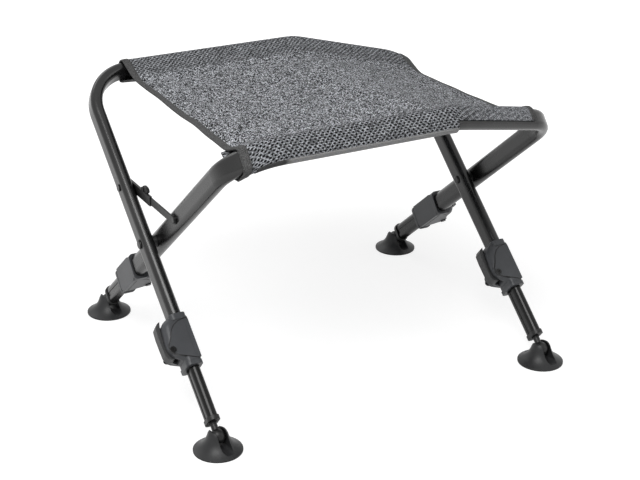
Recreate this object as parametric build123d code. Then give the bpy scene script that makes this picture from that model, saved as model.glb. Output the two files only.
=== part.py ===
from build123d import *
import math
import os

# ---- driving dimensions, in millimetres and degrees ----
LEG_ANGLE = 40.2        # slope of each frame from the floor
PIVOT_Z = 188.3         # height of the main pivot axis
OUTER_LEG_X = 245.5     # leg axis on the side where a frame lies outside
TUBE_WIDE = 28.0        # flat-oval frame tube, across the frame plane
TUBE_NARROW = 16.0      # flat-oval frame tube, in the frame plane
TUBE_WALL = 1.2
FRAME_GAP = 5.0         # free space between the two frames' legs
RAIL_A = 250.0          # rear rail, distance from the pivot along the frame
RAIL_B = 279.5          # front rail
CORNER_A = 194.0        # where the sloping end of the rear rail meets its leg
CORNER_B = 203.0
BEND_X = 60.0           # where a rail starts to slope down
CORNER_R = 58.0
BEND_R = 60.0
TUBE_END = -145.0       # lower end of the frame tubes
RUN_FIT = 0.05          # radial running clearance
FAR = 600.0             # reaches past every piece, for cuts

SLACK_WIDE = 0.6        # free space round the telescopic tube
SLACK_NARROW = 0.3
INNER_WALL = 1.5
INNER_TOP = -80.0
INNER_END = -240.0
GROOVE_WIDE = 6.0
GROOVE_DEEP = 0.7
BUSH_FLANGE = 6.0
BUSH_SPIGOT = 12.0
PLUG_COLLAR = 5.5
PLUG_PROUD = 1.5
PLUG_SPIGOT = 12.0

BALL_Z = 18.5           # height of the ball joint's centre
BALL_R = 9.0
NECK_R = 4.3
SHANK_R = 4.0
SHANK_HEAD_R = 4.8
NECK_STEP = 1.5
FOOT_R = 30.0
FOOT_RIM = 1.8
EAR_TOP = 27.0
EAR_SLOT = 14.4
SLOT_FLOOR = 4.0
FOOT_HEADING = 12.0     # the foot slots' turn from straight fore and aft

CLAMP_TOP = -106.0      # leg clamp, along the leg
CLAMP_END = -174.5
CLAMP_WALL = 2.5        # wall beyond the tube, across the frame plane
CLAMP_FREE = 0.15       # half the space left between two folded clamps
CLAMP_ROUND = 9.0       # the body's rounding on the lever side
LIP = 0.25              # collar and ring stand out by this towards the other frame
RIM = 0.9               # and by this on the other sides
PANEL_RAISE = 0.4
PANEL_SUNK = 6.0        # the raised panel starts this deep in the rounded body
PIN_U = 21.5            # lever pin, out from the leg axis
PIN_S = -151.0
PIN_R = 2.5
PIN_HEAD_R = 4.0
PIN_HEAD = 1.4
LEVER_DEEP = 6.6        # half width of the lever
HUB_R = 8.0

RIVET_R = 4.0           # main pivot
RIVET_HEAD_R = 6.0
RIVET_HEAD = 2.2
SPACER_R = 8.0
STRUT_S = 82.0          # both strut pivots, up from the main pivot
STRUT_RIVET_R = 2.5
STRUT_HEAD_R = 4.5
STRUT_SINK_R = 3.8
STRUT_SINK = 0.6
GUIDE_FREE = 60.0
GUIDE_BACK = 8.0
GUIDE_TALL = 12.5
GUIDE_WALL = 1.2
GUIDE_DEEP = 3.3
BAR_TALL = 9.6
BAR_THICK = 2.0
BAR_SHORT = 6.3         # the bar's end stops this far from the channel's pivot
WASHER_R = 6.0
CATCH_FROM = 35.0
CATCH_LONG = 16.0
CATCH_TALL = 7.2
CATCH_PIN_R = 1.0

SLEEVE = 2.5            # thickness of the fabric sleeves round the rails
TAPE = 1.0
TAPE_WIDE = 8.0
HEM_TOP = -11.0         # upper edge of the hem tape, below the front rail's axis
PANEL = 4.0             # thickness of the seat panel
BINDING_PROUD = 0.7
BINDING_WIDE = 9.0
SOFT_GAP = 0.3
REAR_X = (-193.0, 213.0)
FRONT_X = (-212.0, 207.0)
SEAM = 40.0             # where a sleeve's two layers meet the seat, from the rail's top
SEAT_DIP = 15.0         # the seat lies this far below the rails' tops
EDGE_SAG = 3.0          # how far the seat's side edges curve inwards

# ---- derived ----
COS = math.cos(math.radians(LEG_ANGLE))
SIN = math.sin(math.radians(LEG_ANGLE))
INNER_LEG_X = OUTER_LEG_X - TUBE_NARROW - FRAME_GAP
HALF = TUBE_NARROW / 2
INNER_WIDE = TUBE_WIDE - 2 * TUBE_WALL - 2 * SLACK_WIDE
INNER_NARROW = TUBE_NARROW - 2 * TUBE_WALL - 2 * SLACK_NARROW
CLAMP_SIDE = HALF + FRAME_GAP / 2 - LIP - CLAMP_FREE
CLAMP_DEEP = TUBE_WIDE / 2 + CLAMP_WALL
BALL_S = -(PIVOT_Z - BALL_Z) / SIN
PLUG_END = INNER_END - PLUG_COLLAR
DIP_ANGLE = math.asin(SEAT_DIP / SEAM)

FRAME_A = Plane(origin=(0, 0, PIVOT_Z), x_dir=(1, 0, 0), z_dir=(0, -SIN, COS))
FRAME_B = Plane(origin=(0, 0, PIVOT_Z), x_dir=(-1, 0, 0), z_dir=(0, SIN, COS))

# name, frame, leg axis across the frame as that frame sees it
LEGS = [
    ("a_left", FRAME_A, -OUTER_LEG_X),
    ("a_right", FRAME_A, INNER_LEG_X),
    ("b_left", FRAME_B, INNER_LEG_X),
    ("b_right", FRAME_B, -OUTER_LEG_X),
]


def box(x, y, z):
    size = (x[1] - x[0], y[1] - y[0], z[1] - z[0])
    middle = ((x[0] + x[1]) / 2, (y[0] + y[1]) / 2, (z[0] + z[1]) / 2)
    return Pos(*middle) * Box(*size)


def along_x(radius, x0, x1, y=0.0, z=0.0):
    return Pos((x0 + x1) / 2, y, z) * Rot(0, 90, 0) * Cylinder(radius, x1 - x0)


def along_y(radius, y0, y1):
    return Pos(0, (y0 + y1) / 2, 0) * Rot(90, 0, 0) * Cylinder(radius, y1 - y0)


def along_z(radius, z0, z1, x=0.0, y=0.0):
    return Pos(x, y, (z0 + z1) / 2) * Cylinder(radius, z1 - z0)


def leg_plane(s):
    """A plane across a leg: its x runs across the frame, its z up the leg."""
    return Plane(origin=(0, s, 0), x_dir=(1, 0, 0), z_dir=(0, 1, 0))


def oval_bar(wide, narrow, s0, s1):
    section = leg_plane(s0) * Rot(0, 0, 90) * SlotOverall(wide, narrow)
    return extrude(section, s1 - s0)


def profile(points, n0, n1):
    """A flat shape given by distances out from the leg axis, between two depths."""
    outline = Polygon(*[(-u, s) for u, s in points], align=None)
    return Pos(0, 0, n0) * extrude(outline, n1 - n0, dir=(0, 0, 1))


def both_sides(points, n0, n1):
    return profile(points, n0, n1) + profile(points, -n1, -n0)


# ---- frames ----
def frame_path(left, right, rail, corner, bend):
    points = [(left, TUBE_END), (left, rail), (bend, rail), (right, corner), (right, TUBE_END)]
    return FilletPolyline(*points, radius=[CORNER_R, BEND_R, CORNER_R])


def sweep_oval(path, wide, narrow):
    start = Plane(origin=path @ 0, x_dir=(0, 0, 1), z_dir=path % 0)
    return sweep(start * SlotOverall(wide, narrow), path=path)


def frame_tube(path):
    outer = sweep_oval(path, TUBE_WIDE, TUBE_NARROW)
    inner = sweep_oval(path, TUBE_WIDE - 2 * TUBE_WALL, TUBE_NARROW - 2 * TUBE_WALL)
    return outer - inner


def rail_shell(path, inside, outside, x_span):
    shell = sweep_oval(path, TUBE_WIDE + 2 * outside, TUBE_NARROW + 2 * outside)
    shell -= sweep_oval(path, TUBE_WIDE + 2 * inside, TUBE_NARROW + 2 * inside)
    return shell & box(x_span, (0, FAR), (-FAR, FAR))


PATH_A = frame_path(-OUTER_LEG_X, INNER_LEG_X, RAIL_A, CORNER_A, BEND_X)
PATH_B = frame_path(INNER_LEG_X, -OUTER_LEG_X, RAIL_B, CORNER_B, -BEND_X)


# ---- clamp ----
def collar(s0, s1, out):
    width = 2 * CLAMP_SIDE + LIP + out
    section = Pos((LIP - out) / 2, 0) * RectangleRounded(width, 2 * (CLAMP_DEEP + out), 6)
    return extrude(leg_plane(s0) * section, s1 - s0)


# outlines seen from the side, by distance out from the leg axis and along the leg
BODY = [(8, -108), (16, -109.8), (21.5, -114.5), (25, -128), (26.2, -143), (24.3, -152.5),
        (19, -158.6), (8, -166.5)]
RAISED = [(-4, -115.5), (3, -116), (10, -120), (15.5, -127), (19.5, -136), (24.6, -145),
          (25.2, -150), (23.4, -154.5), (19, -157.6), (-4, -166.4)]
LEVER_OUT = [(22, -108.3), (25.8, -110.4), (29.2, -114.8), (30, -126), (29.9, -140),
             (PIN_U + HUB_R, PIN_S)]
LEVER_IN = [(PIN_U, PIN_S), (24.4, -141), (25.2, -128), (23.9, -116)]


def rounded_body():
    """The clamp's shell on the lever side, its two long edges rounded over."""
    points = [(-u, s) for u, s in BODY]
    last = points[-1]
    back = Polyline(last, (CLAMP_SIDE, last[1]), (CLAMP_SIDE, points[0][1]), points[0])
    shell = extrude(make_face([Spline(*points), back]), CLAMP_DEEP, dir=(0, 0, 1), both=True)
    rims = shell.edges().filter_by(GeomType.BSPLINE)
    return fillet(rims, CLAMP_ROUND)


def clamp_housing():
    body = extrude(leg_plane(CLAMP_END) * RectangleRounded(2 * CLAMP_SIDE, 2 * CLAMP_DEEP, 6),
                   CLAMP_TOP - CLAMP_END)
    body += collar(CLAMP_TOP - 8, CLAMP_TOP, RIM)
    body += collar(CLAMP_END, CLAMP_END + 5, RIM)
    body += rounded_body()
    body += both_sides(RAISED, CLAMP_DEEP - PANEL_SUNK, CLAMP_DEEP + PANEL_RAISE)
    slot = LEVER_DEEP + SOFT_GAP
    body -= box((-FAR, HUB_R + SOFT_GAP - PIN_U), (-FAR, 0), (-slot, slot))
    body -= oval_bar(TUBE_WIDE, TUBE_NARROW, TUBE_END, CLAMP_TOP + 1)
    body -= oval_bar(INNER_WIDE + 2 * RUN_FIT, INNER_NARROW + 2 * RUN_FIT, CLAMP_END - 1, TUBE_END)
    return body - along_z(PIN_R, -FAR, FAR, -PIN_U, PIN_S)


def clamp_lever():
    lever = profile(LEVER_OUT + LEVER_IN, -LEVER_DEEP, LEVER_DEEP)
    lever += along_z(HUB_R, -LEVER_DEEP, LEVER_DEEP, -PIN_U, PIN_S)
    return lever - along_z(PIN_R + RUN_FIT, -FAR, FAR, -PIN_U, PIN_S)


def clamp_pin():
    face = CLAMP_DEEP + PANEL_RAISE
    pin = along_z(PIN_R, -face, face, -PIN_U, PIN_S)
    pin += along_z(PIN_HEAD_R, face, face + PIN_HEAD, -PIN_U, PIN_S)
    pin += along_z(PIN_HEAD_R, -face - PIN_HEAD, -face, -PIN_U, PIN_S)
    socket = Pos(-PIN_U, PIN_S, face + PIN_HEAD - 0.9) * RegularPolygon(1.8, 6)
    return pin - extrude(socket, 1)


# ---- telescopic leg ----
def inner_tube():
    tube = oval_bar(INNER_WIDE, INNER_NARROW, INNER_END, INNER_TOP)
    tube -= oval_bar(INNER_WIDE - 2 * INNER_WALL, INNER_NARROW - 2 * INNER_WALL,
                     INNER_END, INNER_TOP)
    edge = INNER_NARROW / 2
    for side in (-1, 1):
        span = sorted((side * (edge - GROOVE_DEEP), side * (edge + 1)))
        tube -= box(span, (INNER_END, INNER_TOP), (-GROOVE_WIDE / 2, GROOVE_WIDE / 2))
    return tube


def slide_bush():
    slack = 2 * TUBE_WALL + 2 * RUN_FIT
    flange = oval_bar(TUBE_WIDE - slack, TUBE_NARROW - slack, INNER_TOP, INNER_TOP + BUSH_FLANGE)
    spigot = oval_bar(INNER_WIDE - 2 * INNER_WALL, INNER_NARROW - 2 * INNER_WALL,
                      INNER_TOP - BUSH_SPIGOT, INNER_TOP)
    return flange + spigot - along_y(3, INNER_TOP - BUSH_SPIGOT, INNER_TOP + BUSH_FLANGE)


def end_plug():
    plug = oval_bar(INNER_WIDE + 2 * PLUG_PROUD, INNER_NARROW + 2 * PLUG_PROUD,
                    PLUG_END, INNER_END)
    plug += oval_bar(INNER_WIDE - 2 * INNER_WALL, INNER_NARROW - 2 * INNER_WALL,
                     INNER_END, INNER_END + PLUG_SPIGOT)
    return plug - along_y(SHANK_R + RUN_FIT, PLUG_END, INNER_END + PLUG_SPIGOT)


def ball_stud():
    top = INNER_END + PLUG_SPIGOT + RUN_FIT
    bottom = PLUG_END - RUN_FIT
    stud = along_y(SHANK_R, bottom, top)
    stud += along_y(SHANK_HEAD_R, top, top + 2)
    stud += along_y(NECK_R + 0.6, bottom - NECK_STEP, bottom)
    stud += along_y(NECK_R, BALL_S, bottom)
    return stud + Pos(0, BALL_S, 0) * Sphere(BALL_R)


def foot():
    """A swivel foot standing on the floor, its ears to the left and right of the origin."""
    flank = Spline((FOOT_R, FOOT_RIM), (26, 4), (20, 8.4), (15.6, 14), (13, 20), (11.2, 24.6),
                   (9.4, EAR_TOP))
    rest = Polyline((9.4, EAR_TOP), (0, EAR_TOP), (0, 0), (FOOT_R, 0), (FOOT_R, FOOT_RIM))
    body = revolve(Plane.XZ * make_face([flank, rest]), Axis.Z)
    slot = Plane.XZ * Pos(0, SLOT_FLOOR + 20) * RectangleRounded(EAR_SLOT, 40, 5)
    body -= extrude(slot, 40, both=True)
    body -= Pos(0, 0, BALL_Z) * Rot(0, 0, 90) * Sphere(BALL_R + RUN_FIT)
    return Rot(0, 0, FOOT_HEADING) * body


# ---- pivots and strut ----
def main_rivet():
    """The left pivot: its head lies on the outer leg, its tail on the inner one."""
    head = -OUTER_LEG_X - HALF
    tail = -INNER_LEG_X + HALF + RUN_FIT
    rivet = along_x(RIVET_R, head, tail)
    rivet += fillet(along_x(RIVET_HEAD_R, head - RIVET_HEAD, head).faces().sort_by(Axis.X)[0].edges(), 1.6)
    return rivet + fillet(
        along_x(RIVET_HEAD_R - 0.5, tail, tail + RIVET_HEAD).faces().sort_by(Axis.X)[-1].edges(), 1.6)


def pivot_spacer():
    face = -OUTER_LEG_X + HALF
    ring = along_x(SPACER_R, face, face + FRAME_GAP - RUN_FIT)
    return ring - along_x(RIVET_R, face, face + FRAME_GAP)


GUIDE_X = -OUTER_LEG_X + HALF + 2 * RUN_FIT
WEB_X = GUIDE_X + GUIDE_WALL
BAR_X = WEB_X + 2 * RUN_FIT
STRUT_Z = PIVOT_Z + STRUT_S * SIN
STRUT_Y = STRUT_S * COS
BAR_LONG = 2 * STRUT_Y - BAR_SHORT


def strut_guide():
    """The channel of the strut, its pivot at the origin, reaching towards -Y."""
    tall = GUIDE_TALL / 2
    span = (-GUIDE_FREE, GUIDE_BACK)
    guide = box((GUIDE_X, GUIDE_X + GUIDE_DEEP), span, (-tall, tall))
    guide -= box((WEB_X, 0), (-FAR, FAR), (-tall + GUIDE_WALL, tall - GUIDE_WALL))
    ear = box((GUIDE_X, GUIDE_X + 0.9), (-CATCH_FROM - 5, -CATCH_FROM + 1), (tall, tall + 4.5))
    guide += ear
    guide -= along_x(STRUT_RIVET_R + RUN_FIT, -FAR, 0)
    guide -= along_x(STRUT_SINK_R + RUN_FIT, WEB_X - STRUT_SINK - RUN_FIT, 0)
    return guide - along_x(CATCH_PIN_R + RUN_FIT, -FAR, 0, -CATCH_FROM - 2, tall + 2.5)


def strut_catch():
    base = GUIDE_TALL / 2 + SOFT_GAP
    side = [(0, 0.4), (1.2, 0), (14, 0), (CATCH_LONG, 2.5), (14.5, 6), (11, CATCH_TALL),
            (4, CATCH_TALL), (0, 4.5)]
    outline = Polygon(*[(-CATCH_FROM - y, base + z) for y, z in side], align=None)
    catch = extrude(Plane.YZ * outline, 3.5, dir=(1, 0, 0))
    catch = Pos(GUIDE_X + 1, 0, 0) * catch
    return catch + along_x(CATCH_PIN_R, GUIDE_X, GUIDE_X + 1.5, -CATCH_FROM - 2, GUIDE_TALL / 2 + 2.5)


def strut_bar():
    """The bar of the strut, its pivot at the origin, reaching towards +Y."""
    half = BAR_TALL / 2
    bar = box((BAR_X, BAR_X + BAR_THICK), (0, BAR_LONG - half), (-half, half))
    bar += along_x(half, BAR_X, BAR_X + BAR_THICK)
    bar += along_x(half, BAR_X, BAR_X + BAR_THICK, BAR_LONG - half)
    bar -= along_x(STRUT_RIVET_R + RUN_FIT, -FAR, 0)
    return bar - along_x(STRUT_SINK_R + RUN_FIT, -FAR, BAR_X + STRUT_SINK + RUN_FIT)


def guide_rivet():
    outside = -OUTER_LEG_X - HALF
    rivet = along_x(STRUT_RIVET_R, outside, WEB_X - RUN_FIT)
    rivet += along_x(STRUT_SINK_R, WEB_X - STRUT_SINK, WEB_X - RUN_FIT)
    return rivet + along_x(STRUT_HEAD_R, outside - 1.6, outside)


def bar_rivet():
    inside = -INNER_LEG_X + HALF
    rivet = along_x(STRUT_RIVET_R, BAR_X + RUN_FIT, inside)
    rivet += along_x(STRUT_SINK_R, BAR_X + RUN_FIT, BAR_X + STRUT_SINK)
    return rivet + along_x(STRUT_HEAD_R, inside, inside + 1.6)


def strut_washer():
    face = -INNER_LEG_X - HALF
    front = BAR_X + BAR_THICK + RUN_FIT
    return along_x(WASHER_R, front, face) - along_x(STRUT_RIVET_R, front, face)


# ---- seat ----
def rail_height(x, rail, corner, bend_leg, slope_leg):
    """How far up its frame a rail's axis lies at x; its left end bends, its right end slopes."""
    if x < CORNER_R - bend_leg:
        return rail - CORNER_R + math.sqrt(CORNER_R ** 2 - (CORNER_R - bend_leg - x) ** 2)
    fall = (rail - corner) / (slope_leg - BEND_X)
    line = rail - fall * max(x - BEND_X, 0)
    tilt = math.atan(fall)
    across = CORNER_R * math.sin(tilt)
    start = slope_leg - CORNER_R + across
    if x < start:
        return line
    middle = rail - fall * (start - BEND_X) - CORNER_R * math.cos(tilt)
    return middle + math.sqrt(CORNER_R ** 2 - (x - start + across) ** 2)


def seat_section(x, proud):
    """The seat between two stations: down from each rail's top to its seam, then straight."""
    reach = HALF + SLEEVE / 2
    lift = (TUBE_WIDE - TUBE_NARROW) / 2
    rear = rail_height(x, RAIL_A, CORNER_A, OUTER_LEG_X, INNER_LEG_X)
    front = rail_height(x, RAIL_B, CORNER_B, INNER_LEG_X, OUTER_LEG_X)
    points = []
    for height, way in ((rear, 1), (front, -1)):
        centre = Vector(way * (height * COS - lift * SIN), PIVOT_Z + height * SIN + lift * COS)
        outward = Vector(-way * math.sin(DIP_ANGLE), math.cos(DIP_ANGLE))
        along = Vector(-way * math.cos(DIP_ANGLE), -math.sin(DIP_ANGLE))
        leaving = centre + outward * reach
        points.append([leaving, leaving + along * SEAM])
    line = points[0] + points[1][::-1]
    top = [p + Vector(0, proud) for p in line]
    bottom = [p - Vector(0, PANEL + proud) for p in line[::-1]]
    face = make_face(Polyline(*top, *bottom, close=True))
    return Plane(origin=(x, 0, 0), x_dir=(0, 1, 0), z_dir=(1, 0, 0)) * face


def seat_slab(proud, cover):
    ease = BEND_R * math.tan(math.atan((RAIL_B - CORNER_B) / (OUTER_LEG_X - BEND_X)) / 2)
    stations = (FRONT_X[0] - 4, FRONT_X[0] + 9, REAR_X[0], CORNER_R - INNER_LEG_X,
                BEND_X - ease, BEND_X + ease, INNER_LEG_X - 40, INNER_LEG_X - 20, REAR_X[1] + 3)
    slab = loft([seat_section(x, proud) for x in stations], ruled=True)
    rear = sweep_oval(PATH_A, TUBE_WIDE + 2 * cover, TUBE_NARROW + 2 * cover)
    free = cover + SOFT_GAP
    front = sweep_oval(PATH_B, TUBE_WIDE + 2 * free, TUBE_NARROW + 2 * free)
    slab -= FRAME_A.location * rear
    return slab - FRAME_B.location * front


def edge_strip(side, inset):
    """The plan area between a side edge, moved in by the inset, and far inside it."""
    rear = REAR_X[0] if side < 0 else REAR_X[1]
    front = FRONT_X[0] if side < 0 else FRONT_X[1]
    back = RAIL_B * COS + TUBE_WIDE / 2
    start = (rear - side * inset, back)
    middle = ((rear + front) / 2 - side * (EDGE_SAG + inset), 0)
    end = (front - side * inset, -back)
    arc = ThreePointArc(start, middle, end)
    rest = Polyline(end, (0, -back), (0, back), start)
    return extrude(make_face([arc, rest]), FAR)


def seat_parts():
    thin = seat_slab(0, SLEEVE)
    thick = seat_slab(BINDING_PROUD, SLEEVE + TAPE)
    left = edge_strip(-1, BINDING_WIDE)
    right = edge_strip(1, BINDING_WIDE)
    panel = (thin & left) + (thin & right)
    left_binding = (thick & edge_strip(-1, 0)) - left
    right_binding = (thick & edge_strip(1, 0)) - right
    return panel, left_binding, right_binding


# ---- nodes ----
def turned(shape):
    """The same piece on the opposite corner."""
    return Rot(0, 0, 180) * shape


def half_covered(shape):
    """On the front rail's sloping end the fabric covers only the upper half of the tube."""
    return shape - box((-FAR, -BEND_X - 5), (0, FAR), (-FAR, -1))


nodes = {}

tube_a = frame_tube(PATH_A) - along_x(RIVET_R, -FAR, FAR)
tube_a -= along_x(STRUT_RIVET_R, -FAR, 0, STRUT_S)
nodes["frame_a_tube"] = FRAME_A.location * tube_a
tube_b = frame_tube(PATH_B) - along_x(RIVET_R + RUN_FIT, -FAR, FAR)
tube_b -= along_x(STRUT_RIVET_R, 0, FAR, STRUT_S)
nodes["frame_b_tube"] = FRAME_B.location * tube_b

pivot = Pos(0, 0, PIVOT_Z) * main_rivet()
mirrored = Pos(0, 0, PIVOT_Z) * main_rivet().mirror(Plane.YZ)
nodes["main_pivot_rivets"] = Compound(children=[pivot, mirrored])
spacer = Pos(0, 0, PIVOT_Z) * pivot_spacer()
right_face = INNER_LEG_X + HALF
right_spacer = along_x(SPACER_R, right_face, right_face + FRAME_GAP - RUN_FIT)
right_spacer -= along_x(RIVET_R, right_face, right_face + FRAME_GAP)
nodes["pivot_spacers"] = Compound(children=[spacer, Pos(0, 0, PIVOT_Z) * right_spacer])

at_guide = Pos(0, STRUT_Y, STRUT_Z)
at_bar = Pos(0, -STRUT_Y, STRUT_Z)
nodes["strut_guide_rivet"] = at_guide * guide_rivet()
nodes["strut_bar_rivet"] = at_bar * bar_rivet()
nodes["strut_washer"] = at_bar * strut_washer()
nodes["strut_guide"] = at_guide * strut_guide()
nodes["strut_catch"] = at_guide * strut_catch()
nodes["strut_bar"] = at_bar * strut_bar()

pins = {FRAME_A: [], FRAME_B: []}
for name, frame, across in LEGS:
    place = frame.location * Pos(across, 0, 0)
    nodes["clamp_housing_" + name] = place * clamp_housing()
    nodes["clamp_lever_" + name] = place * clamp_lever()
    nodes["inner_tube_" + name] = place * inner_tube()
    nodes["slide_bush_" + name] = place * slide_bush()
    nodes["end_plug_" + name] = place * end_plug()
    nodes["ball_stud_" + name] = place * ball_stud()
    standing = Pos(across, BALL_S * COS, 0) * foot()
    nodes["foot_" + name] = standing if frame is FRAME_A else turned(standing)
    pins[frame].append(place * clamp_pin())
nodes["clamp_pins_a"] = Compound(children=pins[FRAME_A])
nodes["clamp_pins_b"] = Compound(children=pins[FRAME_B])

nodes["rear_sleeve"] = FRAME_A.location * rail_shell(PATH_A, 0, SLEEVE, REAR_X)
front_span = (-FRONT_X[1], -FRONT_X[0])
nodes["front_sleeve"] = FRAME_B.location * half_covered(rail_shell(PATH_B, 0, SLEEVE, front_span))
taped = SLEEVE + TAPE
rear_ends = [(REAR_X[0], REAR_X[0] + TAPE_WIDE), (REAR_X[1] - TAPE_WIDE, REAR_X[1])]
rear_tapes = [FRAME_A.location * rail_shell(PATH_A, SLEEVE, taped, span) for span in rear_ends]
nodes["rear_sleeve_bindings"] = Compound(children=rear_tapes)
front_ends = [(-FRONT_X[0] - TAPE_WIDE, -FRONT_X[0]), (-FRONT_X[1], -FRONT_X[1] + TAPE_WIDE)]
front_tapes = [FRAME_B.location * half_covered(rail_shell(PATH_B, SLEEVE, taped, span))
               for span in front_ends]
nodes["front_sleeve_bindings"] = Compound(children=front_tapes)
hem_span = (-BEND_X, -FRONT_X[0] - TAPE_WIDE)
hem = rail_shell(PATH_B, SLEEVE, taped, hem_span) & box((-FAR, FAR), (0, FAR), (-FAR, HEM_TOP))
nodes["front_hem_tape"] = FRAME_B.location * hem
panel, left_binding, right_binding = seat_parts()
nodes["seat_panel"] = panel
nodes["seat_binding_left"] = left_binding
nodes["seat_binding_right"] = right_binding

os.makedirs("parts", exist_ok=True)
for name, shape in nodes.items():
    export_step(shape, "parts/" + name + ".step")
    print(name, len(shape.solids()), round(shape.volume, 1))
whole = Compound(children=list(nodes.values())).bounding_box()
print(whole.min, whole.max)
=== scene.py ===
import bpy
import math
import numpy as np
from mathutils import Matrix, Vector


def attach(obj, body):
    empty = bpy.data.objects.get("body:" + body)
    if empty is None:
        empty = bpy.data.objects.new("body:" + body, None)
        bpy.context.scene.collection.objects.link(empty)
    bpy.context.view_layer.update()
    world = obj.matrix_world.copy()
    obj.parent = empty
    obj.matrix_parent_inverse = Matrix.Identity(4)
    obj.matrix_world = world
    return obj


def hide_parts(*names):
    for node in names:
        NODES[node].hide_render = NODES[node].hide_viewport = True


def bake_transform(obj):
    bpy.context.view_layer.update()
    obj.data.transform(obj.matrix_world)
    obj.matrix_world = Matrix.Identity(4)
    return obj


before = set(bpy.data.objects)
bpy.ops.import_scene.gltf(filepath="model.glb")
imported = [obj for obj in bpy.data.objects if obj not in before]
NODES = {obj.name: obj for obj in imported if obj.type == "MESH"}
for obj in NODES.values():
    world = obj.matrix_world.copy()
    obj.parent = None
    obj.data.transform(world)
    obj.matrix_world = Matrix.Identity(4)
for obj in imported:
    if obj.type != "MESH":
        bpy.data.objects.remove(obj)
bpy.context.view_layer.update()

scene = bpy.context.scene

# ---- camera ----
AZ = math.radians(-29.06)
EL = math.radians(23.912)
ROLL = math.radians(0.568)
AIM = Vector((-0.1571, -0.2852, 0.2864))
DISTANCE = 1.6325
SENSOR, LENS = 36, 84.403
back = Vector((math.sin(AZ) * math.cos(EL), -math.cos(AZ) * math.cos(EL), math.sin(EL)))
lens = bpy.data.cameras.new("camera")
lens.sensor_width = SENSOR
lens.lens = LENS
lens.clip_start = 0.05
lens.clip_end = 50
camera = bpy.data.objects.new("camera", lens)
scene.collection.objects.link(camera)
flat_right = back.cross(Vector((0, 0, 1))) * -1
flat_right.normalize()
flat_up = back.cross(flat_right)
right = flat_right * math.cos(ROLL) + flat_up * math.sin(ROLL)
up = back.cross(right)
turn = Matrix((right, up, back)).transposed()
camera.matrix_world = Matrix.Translation(AIM + back * DISTANCE) @ turn.to_4x4()
scene.camera = camera

# ---- sizes shared with the construction, in metres ----
ANGLE = math.radians(40.2)
COS, SIN = math.cos(ANGLE), math.sin(ANGLE)
PIVOT = 0.1883
OUTER_X, INNER_X = 0.2455, 0.2245
LEGS = {"a_left": (1, -OUTER_X), "a_right": (1, INNER_X),
        "b_left": (-1, INNER_X), "b_right": (-1, -OUTER_X)}


# ---- node materials ----
class Graph:
    """A short way to write a node material."""

    def __init__(self, name):
        self.material = bpy.data.materials.new(name)
        self.material.use_nodes = True
        self.tree = self.material.node_tree
        self.shader = self.tree.nodes["Principled BSDF"]

    def put(self, kind, settings=None, **inputs):
        node = self.tree.nodes.new(kind)
        for key, value in (settings or {}).items():
            setattr(node, key, value)
        for key, value in inputs.items():
            self.set(node.inputs[key.replace("_", " ")], value)
        return node

    def set(self, socket, value):
        if isinstance(value, bpy.types.NodeSocket):
            self.tree.links.new(value, socket)
        else:
            socket.default_value = value

    def finish(self, **inputs):
        for key, value in inputs.items():
            self.set(self.shader.inputs[key.replace("_", " ")], value)
        return self.material

    def place(self):
        return self.put("ShaderNodeTexCoord").outputs["Object"]

    def cloth_place(self):
        return self.put("ShaderNodeUVMap", {"uv_map": "cloth"}).outputs["UV"]

    def noise(self, scale, detail=3.0, rough=0.5, vector=None):
        vector = vector or self.place()
        return self.put("ShaderNodeTexNoise", Vector=vector, Scale=scale, Detail=detail,
                        Roughness=rough).outputs["Fac"]

    def ramp(self, value, stops):
        node = self.put("ShaderNodeValToRGB", Fac=value)
        band = node.color_ramp
        while len(band.elements) < len(stops):
            band.elements.new(0.5)
        for element, (at, colour) in zip(band.elements, stops):
            element.position = at
            element.color = colour
        return node.outputs["Color"]

    def math(self, kind, a, b=0.0, c=0.0):
        node = self.put("ShaderNodeMath", {"operation": kind})
        for socket, value in zip(node.inputs, (a, b, c)):
            self.set(socket, value)
        return node.outputs["Value"]

    def mix(self, factor, a, b):
        node = self.put("ShaderNodeMix", {"data_type": "RGBA"})
        for name, value in (("Factor", factor), ("A", a), ("B", b)):
            for socket in node.inputs:
                if socket.name == name and socket.type == ("VALUE" if name == "Factor" else "RGBA"):
                    self.set(socket, value)
        return [s for s in node.outputs if s.type == "RGBA"][0]

    def bump(self, height, strength, distance, normal=None):
        node = self.put("ShaderNodeBump", Height=height, Strength=strength, Distance=distance)
        if normal:
            self.set(node.inputs["Normal"], normal)
        return node.outputs["Normal"]

    def edge(self, radius):
        return self.put("ShaderNodeBevel", {"samples": 6}, Radius=radius).outputs["Normal"]

    def between(self, value, low, high, first=0.0, last=1.0):
        """first where the value is below low, last where it is above high, even in between."""
        return self.put("ShaderNodeMapRange", Value=value, From_Min=low, From_Max=high,
                        To_Min=first, To_Max=last).outputs["Result"]

    def vector(self, kind, out, a, b):
        node = self.put("ShaderNodeVectorMath", {"operation": kind})
        self.set(node.inputs[0], a)
        self.set(node.inputs[1], b)
        return node.outputs[out]

    def crevice_shade(self, colour, reach):
        """The colour with painted shade, darker in gaps and inner corners."""
        node = self.put("ShaderNodeAmbientOcclusion", {"samples": 6}, Distance=reach)
        return self.mix(self.between(node.outputs["AO"], 0.25, 0.85), grey(0.004), colour)


def grey(value, tint=0.0):
    return (value * (1 - tint * 0.5), value, value * (1 + tint), 1)


def metal_paint(name, low, high, rough, metallic, grain=900.0):
    g = Graph(name)
    fine = g.noise(grain, 2)
    broad = g.noise(14, 2)
    # painted shade darkens the paint in gaps and inner corners
    colour = g.crevice_shade(g.ramp(broad, [(0.3, grey(low)), (0.7, grey(high))]), 0.004)
    shine = g.math("MULTIPLY_ADD", broad, 0.10, rough - 0.05)
    bump = g.bump(fine, 0.10, 0.0002, g.edge(0.0004))
    return g.finish(Base_Color=colour, Roughness=shine, Metallic=metallic, Normal=bump)


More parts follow.
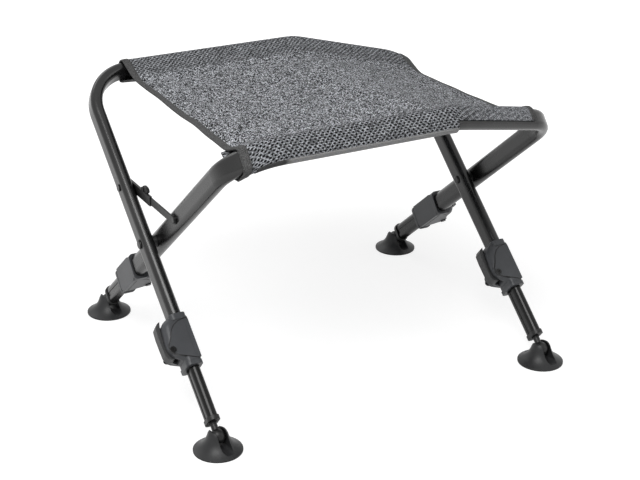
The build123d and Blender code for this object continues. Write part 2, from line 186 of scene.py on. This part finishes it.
def moulded(name, low, high, rough, tint=0.0, groove=None):
    """Moulded plastic; `groove` draws where it has a groove, from 0 to 1, which is dented and
    darkened there with painted shade.
    """
    g = Graph(name)
    fine = g.noise(1400, 3, 0.6)
    broad = g.noise(22, 3)
    # painted shade darkens the plastic in gaps and inner corners
    colour = g.crevice_shade(g.ramp(broad, [(0.3, grey(low, tint)), (0.7, grey(high, tint))]), 0.005)
    shine = g.math("MULTIPLY_ADD", fine, 0.16, rough - 0.08)
    height = fine
    if groove:
        line = groove(g)
        # painted shade: the groove's line darkens the colour, and the bump below dents it
        colour = g.mix(g.math("MULTIPLY", line, 0.85), colour, grey(0.006))
        height = g.math("MULTIPLY_ADD", line, -3.0, fine)
    bump = g.bump(height, 0.16, 0.0003, g.edge(0.0007))
    return g.finish(Base_Color=colour, Roughness=shine, Specular_IOR_Level=0.3, Normal=bump)


# the raised panel's outline on a clamp: out from the leg's axis, and along the leg
PANEL_LINE = [(-0.009, -0.1135), (0.003, -0.116), (0.010, -0.120), (0.0155, -0.127),
              (0.0195, -0.136), (0.0246, -0.145), (0.0252, -0.150), (0.0234, -0.1545),
              (0.019, -0.1576), (-0.009, -0.1683)]
PANEL_DEEP = 0.0135     # the groove is on the faces beyond this, across the frame
GROOVE_IN, GROOVE_OUT = 0.0003, 0.0009      # it fades between these distances from its line


def panel_groove_shade(leg):
    """A function that draws the groove round one clamp's raised panel, for its dent and its painted
    shade.
    """
    turn, across = LEGS[leg]

    def draw(g):
        place = g.vector("SUBTRACT", "Vector", g.place(), (turn * across, 0, PIVOT))
        u = g.vector("DOT_PRODUCT", "Value", place, (-turn, 0, 0))
        s = g.vector("DOT_PRODUCT", "Value", place, (0, turn * COS, SIN))
        depth = g.math("ABSOLUTE", g.vector("DOT_PRODUCT", "Value", place, (0, -turn * SIN, COS)))
        flat = g.put("ShaderNodeCombineXYZ", X=u, Y=s).outputs["Vector"]
        near = GROOVE_OUT
        for start, end in zip(PANEL_LINE, PANEL_LINE[1:]):
            near = g.math("MINIMUM", near, from_segment(g, flat, start, end))
        line = g.between(near, GROOVE_IN, GROOVE_OUT, 1.0, 0.0)
        return g.math("MULTIPLY", line, g.between(depth, PANEL_DEEP, PANEL_DEEP + 0.001))
    return draw


def from_segment(g, place, start, end):
    """The distance of a flat place from the segment between two points."""
    along = np.array((end[0] - start[0], end[1] - start[1], 0))
    rel = g.vector("SUBTRACT", "Vector", place, (*start, 0))
    share = g.vector("DOT_PRODUCT", "Value", rel, tuple(along / (along @ along)))
    share = g.put("ShaderNodeClamp", Value=share).outputs["Result"]
    step = g.put("ShaderNodeCombineXYZ", X=g.math("MULTIPLY", share, along[0]),
                 Y=g.math("MULTIPLY", share, along[1])).outputs["Vector"]
    return g.vector("DISTANCE", "Value", rel, step)


def dressed(material, *names):
    for name in names:
        mesh = NODES[name].data
        mesh.materials.clear()
        mesh.materials.append(material)


FRAME_PAINT = metal_paint("frame_paint", 0.036, 0.047, 0.26, 0.85, grain=500.0)
TUBE_BLACK = metal_paint("tube_black", 0.006, 0.010, 0.22, 0.6)
RIVET_BLACK = metal_paint("rivet_black", 0.015, 0.022, 0.30, 0.7)
STRUT_PAINT = metal_paint("strut_paint", 0.018, 0.026, 0.42, 0.5)
LEVER = moulded("lever_plastic", 0.034, 0.042, 0.46, 0.02)
BLACK_PART = moulded("black_plastic", 0.009, 0.013, 0.40)
FOOT = moulded("foot_plastic", 0.015, 0.023, 0.42, 0.04)

dressed(FRAME_PAINT, "frame_a_tube", "frame_b_tube")
dressed(RIVET_BLACK, "main_pivot_rivets", "strut_guide_rivet", "strut_bar_rivet", "strut_washer",
        "clamp_pins_a", "clamp_pins_b")
dressed(STRUT_PAINT, "strut_guide", "strut_bar")
dressed(BLACK_PART, "pivot_spacers", "strut_catch")
for leg in LEGS:
    # each clamp housing gets painted shade along the groove round its raised panel
    housing = moulded("clamp_plastic_" + leg, 0.044, 0.058, 0.40, 0.08, panel_groove_shade(leg))
    dressed(housing, "clamp_housing_" + leg)
    dressed(LEVER, "clamp_lever_" + leg)
    dressed(TUBE_BLACK, "inner_tube_" + leg)
    dressed(BLACK_PART, "slide_bush_" + leg, "end_plug_" + leg, "ball_stud_" + leg)
    dressed(FOOT, "foot_" + leg)


# ---- the rails' outlines across the fabric ----
BEND_X, TUBE_HALF, TUBE_DEEP = 0.060, 0.008, 0.014
CORNER_R, BEND_R = 0.058, 0.060
RAIL_FROM = 0.12        # only the rail lies further up a frame than this
ARC_STEPS, LINE_STEPS = 24, 40


def unit(vector):
    return vector / np.linalg.norm(vector)


def rounded(points, radii):
    """Straight runs and tangent arcs through the points, as closely spaced points."""
    out = [np.array(points[0], float)]
    for i in range(1, len(points) - 1):
        before, here, after = (np.array(points[k], float) for k in (i - 1, i, i + 1))
        first, second = unit(before - here), unit(after - here)
        half = math.acos(np.clip(first @ second, -1, 1)) / 2
        reach = radii[i - 1] / math.tan(half)
        start, end = here + first * reach, here + second * reach
        middle = here + unit(first + second) * radii[i - 1] / math.sin(half)
        a0 = math.atan2(*(start - middle)[::-1])
        a1 = math.atan2(*(end - middle)[::-1])
        sweep = (a1 - a0 + math.pi) % (2 * math.pi) - math.pi
        for k in range(ARC_STEPS + 1):
            a = a0 + sweep * k / ARC_STEPS
            out.append(middle + radii[i - 1] * np.array((math.cos(a), math.sin(a))))
    out.append(np.array(points[-1], float))
    return np.array(out)


def rail_edges(points, radii):
    """The two edges of a rail's tube, as points (x, distance up the frame)."""
    line = rounded(points, radii)
    fine = []
    for p, q in zip(line[:-1], line[1:]):
        for k in range(LINE_STEPS):
            fine.append(p + (q - p) * k / LINE_STEPS)
    fine = np.array(fine)
    along = np.gradient(fine, axis=0)
    along /= np.maximum(np.linalg.norm(along, axis=1), 1e-12)[:, None]
    side = np.stack([-along[:, 1], along[:, 0]], 1)
    return fine + side * TUBE_HALF, fine - side * TUBE_HALF


def edge_at(line, x):
    """How far up the frame an edge of the rail lies at x."""
    points = line[line[:, 1] > RAIL_FROM]
    points = points[np.argsort(points[:, 0])]
    return np.interp(x, points[:, 0], points[:, 1])


# each rail's and its right corner's distance up the frame, then its left and right leg
RAILS = {
    "a": (0.250, 0.194, -OUTER_X, INNER_X),
    "b": (0.2795, 0.203, -INNER_X, OUTER_X),
}
LEG_END = -0.1          # how far down the frame the legs are followed
EDGES = {}
for key, (rail_s, corner_s, left_x, right_x) in RAILS.items():
    line = [(left_x, LEG_END), (left_x, rail_s), (BEND_X, rail_s), (right_x, corner_s),
            (right_x, LEG_END)]
    EDGES[key] = rail_edges(line, [CORNER_R, BEND_R, CORNER_R])


# ---- the fabric's path over x ----
PROUD = {"a": 0.0029, "b": 0.0023}   # the fabric's outer face, out from each rail
SEAM = 0.040            # seam line, in from each rail's top
SEAM_DIP = 0.015        # and down from it
DIP_ANGLE = math.asin(SEAM_DIP / SEAM)
SEAM_SOFT = 0.016       # the bend at a seam is spread over this length each way
SLEEVE_DROP = 0.0016    # a sleeve ends this far under the seat at its seam
SAG = 0.002             # further sag between the seams
RIPPLE = 0.0007         # unevenness of the stretched fabric
HEM_LINE = -0.001       # right of BEND_X the fabric stops here, across frame B's plane
# points round a rail's tube, on a sleeve's low part, its wrap, the seat, and the wrap to the hem
OUTLINE_N, LOW_N, WRAP_N, SEAT_N, FIRST_N = 220, 10, 34, 76, 16
SOFT_N = 9              # points in the bend at a seam
TANGENT_ROUNDS = 4      # the rails' tops depend on the line between them, so they are found in rounds
MIN_WRAP = 3            # the wrap to the hem has more points than this


def tube_outline(key, x):
    """Points (y, z) round the rail's tube at x, with the fabric's distance added."""
    outer = edge_at(EDGES[key][0], x)
    inner = edge_at(EDGES[key][1], x)
    outer, inner = max(outer, inner), min(outer, inner)
    half_s = (outer - inner) / 2
    mid = (outer + inner) / 2
    flat = TUBE_DEEP - TUBE_HALF
    r = TUBE_HALF + PROUD[key]
    extra = half_s - TUBE_HALF
    sign = 1 if key == "a" else -1
    pts = []
    for k in range(OUTLINE_N):
        a = 2 * math.pi * k / OUTLINE_N
        s = mid + r * math.cos(a) + (extra if math.cos(a) > 0 else -extra)
        n = r * math.sin(a) + (flat if math.sin(a) > 0 else -flat)
        y = sign * s * COS - sign * n * SIN
        z = PIVOT + s * SIN + n * COS
        pts.append((y, z))
    return np.array(pts)


def resample(points, count):
    """The same line as evenly spaced points."""
    gap = np.linalg.norm(np.diff(points, axis=0), axis=1)
    at = np.concatenate([[0], np.cumsum(gap)])
    want = np.linspace(0, at[-1], count)
    return np.stack([np.interp(want, at, points[:, i]) for i in (0, 1)], 1)


def section(x):
    """The fabric's path at x: rear seam, under and round the rear rail, over the seat,
    round the front rail and back to its seam."""
    rear = tube_outline("a", x)
    front = tube_outline("b", x)
    rear_top, front_top = rear[rear[:, 1].argmax()], front[front[:, 1].argmax()]
    down, across = math.sin(DIP_ANGLE), math.cos(DIP_ANGLE)
    for _ in range(TANGENT_ROUNDS):
        line = unit(rear_top - front_top)
        normal = np.array((-line[1], line[0]))
        rear_top = rear[(rear @ (normal * across - line * down)).argmax()]
        front_top = front[(front @ (normal * across + line * down)).argmax()]
    line = unit(rear_top - front_top)
    normal = np.array((-line[1], line[0]))
    parts = []
    for top, outline, way in ((rear_top, rear, -1), (front_top, front, 1)):
        slope = line * way * across - normal * down
        seam = top + slope * SEAM - normal * SLEEVE_DROP
        rel = outline - seam
        # the underside's tangent point, seen from the seam
        bearing = np.unwrap(np.arctan2(rel @ normal, rel @ (-line * way)))
        low = bearing.argmin()
        start = np.linalg.norm(outline - top, axis=1).argmin()
        forward = [(start + k) % OUTLINE_N for k in range((low - start) % OUTLINE_N + 1)]
        backward = [(start - k) % OUTLINE_N for k in range((start - low) % OUTLINE_N + 1)]
        # of the two ways from the top, the wrap goes round the rail's far side
        reach = outline @ (-line * way)
        wrap = forward if reach[forward].max() > reach[backward].max() else backward
        parts.append((seam, outline[wrap]))
    (rear_seam, rear_wrap), (front_seam, front_wrap) = parts
    return {
        "rear_low": resample(np.array([rear_seam, rear_wrap[-1]]), LOW_N),
        "rear_wrap": rear_wrap[::-1],
        "seat": (rear_top, rear_top - (line * across + normal * down) * SEAM,
                 front_top + (line * across - normal * down) * SEAM, front_top),
        "front_wrap": front_wrap,
        "front_low": resample(np.array([front_wrap[-1], front_seam]), LOW_N),
    }


def split_wrap(wrap):
    """The front wrap up to the hem line, then the rest of it."""
    across = (wrap[:, 1] - PIVOT) * COS + wrap[:, 0] * SIN
    cut = max(int(np.argmax(across < HEM_LINE)), MIN_WRAP)
    return wrap[:cut + 1], wrap[cut:]


def softened(rear_top, rear_seam, front_seam, front_top):
    """The seat's line from rail to rail, with a soft bend at each seam."""
    run = unit(front_seam - rear_seam)
    points = [rear_top]
    for corner, before, after in ((rear_seam, rear_top, rear_seam + run),
                                  (front_seam, rear_seam, front_top)):
        enter = unit(before - corner) * SEAM_SOFT
        leave = unit(after - corner) * SEAM_SOFT
        for t in np.linspace(0, 1, SOFT_N):
            points.append(corner + enter * (1 - t) ** 2 + leave * t ** 2)
    points.append(front_top)
    return np.array(points)


def full_path(x):
    """The fabric's path at x as TOTAL points, each with its own place in the order."""
    parts = section(x)
    upper, lower = split_wrap(parts["front_wrap"])
    seat = resample(softened(*parts["seat"]), SEAT_N)
    return np.concatenate([
        parts["rear_low"],
        resample(parts["rear_wrap"], WRAP_N)[1:],
        seat[1:],
        resample(upper, FIRST_N)[1:],
        resample(lower, WRAP_N - FIRST_N)[1:],
        parts["front_low"][1:],
    ])


# COMMON points reach the hem line, TOTAL points the front seam
COMMON = LOW_N + (WRAP_N - 1) + (SEAT_N - 1) + (FIRST_N - 1)
TOTAL = COMMON + (WRAP_N - FIRST_N - 1) + (LOW_N - 1)
SEAT_FROM = LOW_N + (WRAP_N - 1) - 1
SEAT_TO = SEAT_FROM + SEAT_N - 1
# sections from left to right, a little wider than the fabric
GRID_X = np.linspace(-0.2155, 0.222, 140)
TABLE_P = np.array([full_path(gx) for gx in GRID_X])


def path_at(x, j):
    """Profile point j at x, between the worked out sections."""
    f = np.clip((x - GRID_X[0]) / (GRID_X[1] - GRID_X[0]), 0, len(GRID_X) - 1.001)
    i = int(f)
    f -= i
    return TABLE_P[i, j] * (1 - f) + TABLE_P[i + 1, j] * f


WAVES, WAVE_SEED, WAVE_RATE, WAVE_SIZE = 7, 3, 38, 0.38


def wave(x, y):
    """A smooth uneven surface, mostly between -1 and 1."""
    rng = np.random.default_rng(WAVE_SEED)
    total = 0.0
    for _ in range(WAVES):
        rate_x, rate_y = rng.normal(0, WAVE_RATE, 2)
        total += np.sin(rate_x * x + rate_y * y + rng.uniform(0, 6.28)) * WAVE_SIZE
    return total


REAR_X = (-0.193, 0.217)    # the fabric's left and right edge at the rear rail
FRONT_X = (-0.212, 0.207)   # and at the front rail
SIDE_SAG = 0.003            # the edges curve in by this between the rails
BEND_P = 0.64               # the station on the line where the rails start to slope
LEFT_N, RIGHT_N = 90, 52    # stations up to that line and from it on


def side_x(j, side):
    """Where a side edge, slightly uneven, lies at profile point j."""
    t = np.clip((j - SEAT_FROM) / (SEAT_TO - SEAT_FROM), 0, 1)
    k = 0 if side < 0 else 1
    base = REAR_X[k] + (FRONT_X[k] - REAR_X[k]) * t
    rough = 0.0009 * math.sin(9.5 * t + k) + 0.0006 * math.sin(23 * t + 2 * k)
    inside = math.sin(math.pi * t)
    return base - side * (SIDE_SAG * inside ** 0.8 + rough * inside)


def station_x(p, j):
    """The x of station p, which runs from 0 at the left edge to 1 at the right."""
    left, right = side_x(j, -1), side_x(j, 1)
    if p <= BEND_P:
        return left + (BEND_X - left) * p / BEND_P
    return BEND_X + (right - BEND_X) * (p - BEND_P) / (1 - BEND_P)


STATIONS = np.concatenate([np.linspace(0, BEND_P, LEFT_N), np.linspace(BEND_P, 1, RIGHT_N)[1:]])
NOTCH = LEFT_N - 1          # right of this station the fabric stops at the hem line


def surface_point(p, j, out=0.0):
    """The fabric's surface at station p and profile point j, or a place `out` from it."""
    x = station_x(p, j)
    yz = path_at(x, j)
    before, after = path_at(x, max(j - 1, 0)), path_at(x, min(j + 1, TOTAL - 1))
    way = after - before
    way /= max(np.linalg.norm(way), 1e-9)
    # a quarter turn from the rear-to-front way, which is up on the seat
    outward = np.array((way[1], -way[0]))
    t = (j - SEAT_FROM) / (SEAT_TO - SEAT_FROM)
    sag = 0.0
    if 0 < t < 1:
        across = math.sin(math.pi * t) ** 2
        sag = (RIPPLE * wave(x, yz[0]) - SAG) * across
    yz = yz + outward * (out + sag)
    return np.array((x, yz[0], yz[1]))


def lengths_across(p):
    """The fabric's length from its rear seam to each profile point, at station p."""
    pts = np.array([surface_point(p, j) for j in range(TOTAL)])
    gap = np.linalg.norm(np.diff(pts, axis=0), axis=1)
    return np.concatenate([[0], np.cumsum(gap)])


def mesh_object(name, points, faces, uvs=None, smooth=True):
    mesh = bpy.data.meshes.new(name)
    mesh.from_pydata([tuple(p) for p in points], [], faces)
    mesh.update()
    if uvs is not None:
        layer = mesh.uv_layers.new(name="cloth")
        flat = np.zeros(len(mesh.loops) * 2)
        index = np.zeros(len(mesh.loops), int)
        mesh.loops.foreach_get("vertex_index", index)
        flat[0::2] = np.array(uvs)[index, 0]
        flat[1::2] = np.array(uvs)[index, 1]
        layer.data.foreach_set("uv", flat)
    if smooth:
        mesh.polygons.foreach_set("use_smooth", [True] * len(mesh.polygons))
    obj = bpy.data.objects.new(name, mesh)
    scene.collection.objects.link(obj)
    return obj


def apply_modifiers(obj):
    graph = bpy.context.evaluated_depsgraph_get()
    shaped = bpy.data.meshes.new_from_object(obj.evaluated_get(graph))
    obj.modifiers.clear()
    obj.data = shaped
    return obj


def thicken(obj, thickness, offset):
    modifier = obj.modifiers.new("thick", "SOLIDIFY")
    modifier.thickness = thickness
    modifier.offset = offset
    modifier.use_even_offset = True
    return apply_modifiers(obj)


# ---- the fabric's pieces and materials ----
REAR_SHARP = 3.0        # how much faster the mesh gives way to the melange at the rear seam
CLOTH_THICK, TAPE_THICK, HEM_THICK = 0.0013, 0.0022, 0.0010
MESH_COLUMN, MESH_ROW = 0.0061, 0.0030
RIB = 0.0011            # pitch of the edge tape's ribs


def seat_cover():
    """The whole fabric; its band attribute grows with the distance from the rails' tops."""
    points, uvs, band, index = [], [], [], {}
    for i, p in enumerate(STATIONS):
        across = lengths_across(p)
        across = across - across[SEAT_FROM]
        span = across[SEAT_TO]
        last = TOTAL if i <= NOTCH else COMMON
        for j in range(last):
            index[i, j] = len(points)
            points.append(surface_point(p, j))
            uvs.append((points[-1][0], across[j]))
            band.append(min(SEAM + (across[j] - SEAM) * REAR_SHARP, span - across[j]))
    faces = []
    for i in range(len(STATIONS) - 1):
        last = TOTAL if i < NOTCH else COMMON
        for j in range(last - 1):
            faces.append((index[i, j], index[i + 1, j], index[i + 1, j + 1], index[i, j + 1]))
    cover = mesh_object("seat_cover", points, faces, uvs)
    attribute = cover.data.attributes.new("band", "FLOAT", "POINT")
    attribute.data.foreach_set("value", np.array(band, np.float32))
    return thicken(cover, CLOTH_THICK, 1.0)


def hem_material():
    """Light grey tape on the straight part of the front rail, dark round its bend."""
    g = Graph("hem_tape")
    place = g.put("ShaderNodeSeparateXYZ", Vector=g.place())
    speck = g.noise(1500, 2, 0.6)
    light = g.ramp(speck, [(0.35, grey(0.13)), (0.65, grey(0.34))])
    dark = g.ramp(speck, [(0.35, grey(0.020)), (0.65, grey(0.075))])
    along = g.math("MULTIPLY_ADD", g.noise(60, 2), 0.02, place.outputs["X"])
    straight = g.between(along, -0.160, -0.154)
    return g.finish(Base_Color=g.mix(straight, dark, light), Roughness=0.85,
                    Specular_IOR_Level=0.15, Normal=g.bump(speck, 0.4, 0.0004))


def cloth_material():
    """Melange weave in the middle, open mesh along the rails, fading into each other."""
    g = Graph("seat_cloth")
    uv = g.cloth_place()
    parts = g.put("ShaderNodeSeparateXYZ", Vector=uv)
    u, v = parts.outputs["X"], parts.outputs["Y"]
    band = g.put("ShaderNodeAttribute", {"attribute_name": "band"}).outputs["Fac"]

    def threads_along(angle):
        way = g.put("ShaderNodeMapping", Vector=uv, Rotation=(0, 0, angle), Scale=(900, 1050, 1))
        cell = g.put("ShaderNodeTexVoronoi", {"voronoi_dimensions": "2D"},
                     Vector=way.outputs["Vector"], Scale=1.0).outputs["Color"]
        return g.put("ShaderNodeSeparateColor", Color=cell).outputs["Red"]

    # melange: short light and dark threads, lying both ways
    one, other = threads_along(0.6), threads_along(-0.75)
    threads = g.math("MULTIPLY_ADD", other, 0.25, g.math("MULTIPLY", one, 0.75))
    patch = g.noise(70, 3, 0.6, uv)
    tone = g.math("MULTIPLY_ADD", g.math("SUBTRACT", patch, 0.5), 0.16, threads)
    melange = g.ramp(tone, [(0.16, grey(0.002, 0.06)), (0.48, grey(0.018, 0.06)),
                            (0.61, grey(0.13, 0.06)), (0.82, grey(0.76, 0.06))])
    # open mesh: staggered diamond holes between slanting threads
    rows = g.math("MULTIPLY_ADD", patch, 0.5, g.math("MULTIPLY", v, 1 / MESH_ROW))
    shift = g.math("MULTIPLY", g.math("PINGPONG", g.math("FLOOR", rows), 1.0), 0.5)
    columns = g.math("ADD", g.math("MULTIPLY", u, 1 / MESH_COLUMN), shift)
    side = g.math("SUBTRACT", g.math("FRACT", columns), 0.5)
    rise = g.math("SUBTRACT", g.math("FRACT", rows), 0.5)
    reach = g.math("MULTIPLY_ADD", g.math("ABSOLUTE", side), 1.3, g.math("ABSOLUTE", rise))
    wide = g.math("MULTIPLY_ADD", g.math("SUBTRACT", one, 0.5), 0.20, 0.46)
    hole = g.between(g.math("SUBTRACT", wide, reach), -0.04, 0.06)
    thread = g.ramp(tone, [(0.15, grey(0.03, 0.06)), (0.50, grey(0.15, 0.06)),
                           (0.85, grey(0.48, 0.06))])
    # round the front rail's sloping end the holes close up
    closed = g.math("MULTIPLY", g.between(u, 0.065, 0.150), g.between(v, 0.20, 0.25))
    open_part = g.math("MULTIPLY_ADD", closed, -0.65, 1.0)
    hole = g.math("MULTIPLY", hole, open_part)
    netting = g.mix(hole, thread, grey(0.004))
    edge = g.math("MULTIPLY_ADD", patch, 0.014, g.math("MULTIPLY_ADD", one, 0.010, band))
    fade = g.between(edge, 0.028, 0.052)
    colour = g.mix(fade, netting, melange)
    deep = g.math("MULTIPLY", g.math("SUBTRACT", 1.0, fade), hole)
    height = g.math("MULTIPLY_ADD", deep, -1.2, threads)
    return g.finish(Base_Color=colour, Roughness=0.9, Specular_IOR_Level=0.15,
                    Normal=g.bump(height, 0.35, 0.0006))


def tape_material():
    """Dark ribbed tape."""
    g = Graph("edge_tape")
    along = g.put("ShaderNodeSeparateXYZ", Vector=g.cloth_place()).outputs["Y"]
    rib = g.math("SINE", g.math("MULTIPLY", along, math.tau / RIB))
    speck = g.noise(1100, 2, 0.7)
    tone = g.math("MULTIPLY_ADD", rib, 0.05, speck)
    colour = g.ramp(tone, [(0.35, grey(0.018)), (0.65, grey(0.120))])
    return g.finish(Base_Color=colour, Roughness=0.85, Specular_IOR_Level=0.15,
                    Normal=g.bump(tone, 0.4, 0.0004))


def strip(name, stations, rows, out, thickness, material):
    """A tape laid on the fabric over a range of profile points; `out` gives its height across."""
    points, uvs, faces = [], [], []
    run = 0.0
    for j in rows:
        first = len(points)
        for p, height in zip(stations(j), out):
            points.append(surface_point(p, j, height))
        if first:
            run += np.linalg.norm(points[first] - points[first - len(out)])
        uvs += [(0.001 * k, run) for k in range(len(out))]
    count = len(out)
    for r in range(len(rows) - 1):
        for k in range(count - 1):
            a = r * count + k
            faces.append((a, a + 1, a + count + 1, a + count))
    obj = mesh_object(name, points, faces, uvs)
    obj.data.materials.append(material)
    return thicken(obj, thickness, 0.0)


TAPE_OUT, TAPE_IN = 0.0010, 0.0062          # how far a tape reaches past the edge, and in
REAR_MOUTH, FRONT_MOUTH = 0.0026, 0.0008    # and further in where it binds a sleeve's mouth
TAPE_HEIGHTS = (-0.0005, 0.0, 0.0, 0.0, 0.0, 0.0, -0.0009)      # across it, edges turned down
# the hem tape: its stations along the front rail, and the profile points under the rail it covers
HEM_STATIONS = np.linspace(0.030, 0.638, 60)
HEM_ROWS = range(COMMON + 5, COMMON + 17)
HEM_HEIGHTS = [0.0003] * len(HEM_STATIONS)


def edge_stations(side):
    """Stations across a tape along a side edge, wider where it binds a sleeve's mouth."""
    def at(j):
        t = (j - SEAT_FROM) / (SEAT_TO - SEAT_FROM)
        mouth = (np.clip(1.3 - 10 * t, 0, 1) * REAR_MOUTH
                 + np.clip(10 * t - 8.7, 0, 1) * FRONT_MOUTH)
        steps = np.linspace(-TAPE_OUT, TAPE_IN + mouth, len(TAPE_HEIGHTS))
        if side < 0:
            return steps * (BEND_P / (BEND_X - side_x(j, -1)))
        return 1 - steps * ((1 - BEND_P) / (side_x(j, 1) - BEND_X))
    return at


cover = seat_cover()
cover.data.materials.append(cloth_material())
TAPE_DARK = tape_material()
HEM_GREY = hem_material()
left_tape = strip("edge_tape_left", edge_stations(-1), range(TOTAL), TAPE_HEIGHTS,
                  TAPE_THICK, TAPE_DARK)
right_tape = strip("edge_tape_right", edge_stations(1), range(COMMON), TAPE_HEIGHTS,
                   TAPE_THICK, TAPE_DARK)
hem = strip("hem_tape", lambda j: HEM_STATIONS, HEM_ROWS, HEM_HEIGHTS, HEM_THICK, HEM_GREY)

# the cover and its side tapes stay where they are built; the hem tape goes with frame B
for piece in (cover, left_tape, right_tape):
    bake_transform(piece)
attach(hem, "frame_b")
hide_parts("seat_panel", "rear_sleeve", "front_sleeve")
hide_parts("seat_binding_left", "rear_sleeve_bindings", "front_sleeve_bindings")
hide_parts("seat_binding_right")
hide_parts("front_hem_tape")

# ---- light and ground ----
world = bpy.data.worlds.new("world")
scene.world = world
world.use_nodes = True
tree = world.node_tree
sky = tree.nodes["Background"]
sky.inputs["Color"].default_value = (1, 1, 1, 1)
sky.inputs["Strength"].default_value = 0.34
white = tree.nodes.new("ShaderNodeBackground")
white.inputs["Color"].default_value = (1, 1, 1, 1)
white.inputs["Strength"].default_value = 1.0


def shown(tree):
    """1 for camera, glossy and transmission rays, which see the white background."""
    path = tree.nodes.new("ShaderNodeLightPath")
    value = path.outputs["Is Camera Ray"]
    for kind in ("Is Glossy Ray", "Is Transmission Ray"):
        either = tree.nodes.new("ShaderNodeMath")
        either.operation = "MAXIMUM"
        tree.links.new(value, either.inputs[0])
        tree.links.new(path.outputs[kind], either.inputs[1])
        value = either.outputs["Value"]
    return value


pick = tree.nodes.new("ShaderNodeMixShader")
tree.links.new(shown(tree), pick.inputs["Fac"])
tree.links.new(sky.outputs["Background"], pick.inputs[1])
tree.links.new(white.outputs["Background"], pick.inputs[2])
tree.links.new(pick.outputs["Shader"], tree.nodes["World Output"].inputs["Surface"])


def lamp(name, place, aim, size, power):
    light = bpy.data.lights.new(name, "AREA")
    light.shape = "RECTANGLE"
    light.size, light.size_y = size
    light.energy = power
    obj = bpy.data.objects.new(name, light)
    scene.collection.objects.link(obj)
    obj.location = place
    obj.rotation_mode = "QUATERNION"
    obj.rotation_quaternion = (Vector(aim) - Vector(place)).to_track_quat("-Z", "Y")


lamp("key", (-1.0, -1.0, 1.9), (0, 0, 0.25), (1.3, 1.3), 40)
lamp("fill", (1.8, -1.6, 1.4), (0, 0, 0.2), (1.2, 1.2), 5)
lamp("rim", (-0.6, 2.0, 1.8), (0, 0, 0.3), (1.6, 0.8), 9)


def floor_material():
    """White where it is seen, with the object's shadow left faintly on it."""
    g = Graph("floor_white")
    g.finish(Base_Color=grey(0.80), Roughness=0.9)
    far = g.put("ShaderNodeVectorMath", {"operation": "LENGTH"}, Vector=g.place()).outputs["Value"]
    strength = g.between(far, 0.35, 1.1, 0.75, 1.0)
    glow = g.put("ShaderNodeEmission", Color=(1, 1, 1, 1), Strength=strength)
    lit = g.put("ShaderNodeBsdfDiffuse", Color=grey(0.40))
    both = g.put("ShaderNodeAddShader")
    g.tree.links.new(glow.outputs["Emission"], both.inputs[0])
    g.tree.links.new(lit.outputs["BSDF"], both.inputs[1])
    blend = g.put("ShaderNodeMixShader")
    g.set(blend.inputs["Fac"], shown(g.tree))
    g.tree.links.new(g.shader.outputs["BSDF"], blend.inputs[1])
    g.tree.links.new(both.outputs["Shader"], blend.inputs[2])
    g.tree.links.new(blend.outputs["Shader"], g.tree.nodes["Material Output"].inputs["Surface"])
    return g.material


FLOOR_HALF, FLOOR_GAP = 4, 0.0002
corners = [(x * FLOOR_HALF, y * FLOOR_HALF, 0) for x, y in ((-1, -1), (1, -1), (1, 1), (-1, 1))]
ground = mesh_object("ground", corners, [(0, 1, 2, 3)], smooth=False)
ground.location.z = -FLOOR_GAP
ground.data.materials.append(floor_material())

scene.view_settings.view_transform = "Standard"
